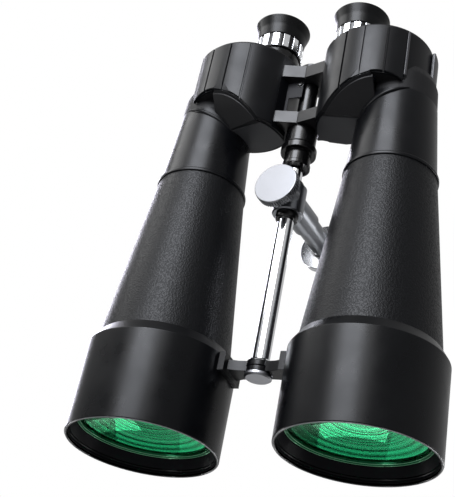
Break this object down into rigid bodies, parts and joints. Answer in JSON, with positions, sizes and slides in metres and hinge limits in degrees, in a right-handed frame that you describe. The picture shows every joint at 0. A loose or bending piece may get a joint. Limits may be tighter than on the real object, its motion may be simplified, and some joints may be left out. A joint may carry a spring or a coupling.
{
  "type": "astronomy binoculars",
  "caption": "Large astronomy binoculars with tapered barrels, coated objective lenses, prism housings, folding centre hinge, focusing eyepieces and a sliding tripod post on a chrome rod.",
  "frame": {"origin": "middle of the plane of the two objective rims, centred on the whole in X and Y", "axes": "+Z from the objective rims to the eyepieces, +X from the left-hand barrel to the right-hand one as seen from the top side, -Y out of the top side, +Y along the tripod post"},
  "size_m": [0.2318, 0.1133, 0.3367],
  "materials": {
    "hood_black": "satin",
    "anodised_black": "satin",
    "coated_glass": "gloss",
    "clear_glass": "gloss",
    "tube_aluminium": "matt",
    "pebbled_rubber": "pebbled",
    "neck_black": "satin",
    "housing_black": "satin",
    "grip_rubber": "matt",
    "spring_steel": "brushed",
    "bracket_grey": "satin",
    "bright_chrome": "polished",
    "eyecup_rubber": "satin",
    "nylon_black": "matt",
    "satin_aluminium": "satin"
  },
  "bodies": {
    "spine": {"hinge_axle": "anodised_black", "axle_nut": "anodised_black", "axle_collar": "anodised_black", "centre_rod": "bright_chrome", "front_washer": "housing_black", "rod_end_cap": "bright_chrome"},
    "left_half": {"left_objective_hood": "hood_black", "left_objective_cell": "anodised_black", "left_retaining_ring": "anodised_black", "left_crown_lens": "coated_glass", "left_flint_lens": "clear_glass", "left_barrel_tube": "tube_aluminium", "left_barrel_armour": "pebbled_rubber", "left_neck_sleeve": "neck_black", "left_prism_housing": "housing_black", "left_rear_cover": "housing_black", "left_grip_armour": "grip_rubber", "left_front_prism": "clear_glass", "left_rear_prism": "clear_glass", "left_prism_shelf": "tube_aluminium", "left_prism_clips": "spring_steel", "left_cover_screws": "spring_steel", "left_hinge_lugs": "bracket_grey", "left_bridge_arm": "housing_black", "left_focus_sleeve": "anodised_black"},
    "left_focus_ring_body": {"left_focus_ring": "bright_chrome"},
    "left_ocular": {"left_eyepiece_barrel": "anodised_black", "left_field_lens": "clear_glass", "left_eye_lens": "coated_glass", "left_eyecup": "eyecup_rubber"},
    "right_half": {"right_objective_hood": "hood_black", "right_objective_cell": "anodised_black", "right_retaining_ring": "anodised_black", "right_crown_lens": "coated_glass", "right_flint_lens": "clear_glass", "right_barrel_tube": "tube_aluminium", "right_barrel_armour": "pebbled_rubber", "right_neck_sleeve": "neck_black", "right_prism_housing": "housing_black", "right_rear_cover": "housing_black", "right_grip_armour": "grip_rubber", "right_front_prism": "clear_glass", "right_rear_prism": "clear_glass", "right_prism_shelf": "tube_aluminium", "right_prism_clips": "spring_steel", "right_cover_screws": "spring_steel", "right_hinge_lugs": "bracket_grey", "right_bridge_arm": "housing_black", "right_focus_sleeve": "anodised_black"},
    "right_focus_ring_body": {"right_focus_ring": "bright_chrome"},
    "right_ocular": {"right_eyepiece_barrel": "anodised_black", "right_field_lens": "clear_glass", "right_eye_lens": "coated_glass", "right_eyecup": "eyecup_rubber"},
    "post_slider": {"slide_bush": "nylon_black"},
    "post": {"post_head": "satin_aluminium", "tripod_post": "satin_aluminium", "foot_pad": "grip_rubber"},
    "knob_seat": {"knob_washer": "nylon_black"},
    "knob": {"clamp_knob": "satin_aluminium"}
  },
  "joints": [
    {"name": "left_half_fold", "type": "hinge", "parent": "spine", "child": "left_half", "pos_m": [0, -0.0087, 0], "axis": [0, 0, 1], "range_deg": [-26, 0]},
    {"name": "right_half_fold", "type": "hinge", "parent": "spine", "child": "right_half", "pos_m": [0, -0.0087, 0], "axis": [0, 0, 1], "range_deg": [0, 26]},
    {"name": "left_focus_turn", "type": "hinge", "parent": "left_half", "child": "left_focus_ring_body", "pos_m": [-0.0311, -0.0077, 0.314], "axis": [0, 0, 1], "range_deg": [0, 270]},
    {"name": "left_focus_travel", "type": "slide", "parent": "left_half", "child": "left_ocular", "axis": [0, 0, 1], "range_m": [0, 0.0045]},
    {"name": "right_focus_turn", "type": "hinge", "parent": "right_half", "child": "right_focus_ring_body", "pos_m": [0.0311, -0.0077, 0.314], "axis": [0, 0, 1], "range_deg": [0, 270]},
    {"name": "right_focus_travel", "type": "slide", "parent": "right_half", "child": "right_ocular", "axis": [0, 0, 1], "range_m": [0, 0.0045]},
    {"name": "post_slide", "type": "slide", "parent": "spine", "child": "post_slider", "axis": [0, 0, 1], "range_m": [-0.103, 0.0115]},
    {"name": "post_swivel", "type": "hinge", "parent": "post_slider", "child": "post", "pos_m": [0, -0.0087, 0.1768], "axis": [0, 0, 1], "range_deg": [-1, 12]},
    {"name": "knob_travel", "type": "slide", "parent": "post", "child": "knob_seat", "axis": [-0.1021, -0.9948, 0], "range_m": [0, 0.00125]},
    {"name": "knob_turn", "type": "hinge", "parent": "knob_seat", "child": "knob", "pos_m": [-0.00184, -0.02661, 0.1768], "axis": [-0.1021, -0.9948, 0], "range_deg": [0, 360]}
  ],
  "couplings": [
    {"joint": "left_focus_travel", "follows": "left_focus_turn", "m_per_rad": 0.000954},
    {"joint": "right_focus_travel", "follows": "right_focus_turn", "m_per_rad": 0.000954},
    {"joint": "knob_travel", "follows": "knob_turn", "m_per_rad": 0.0001989}
  ]
}
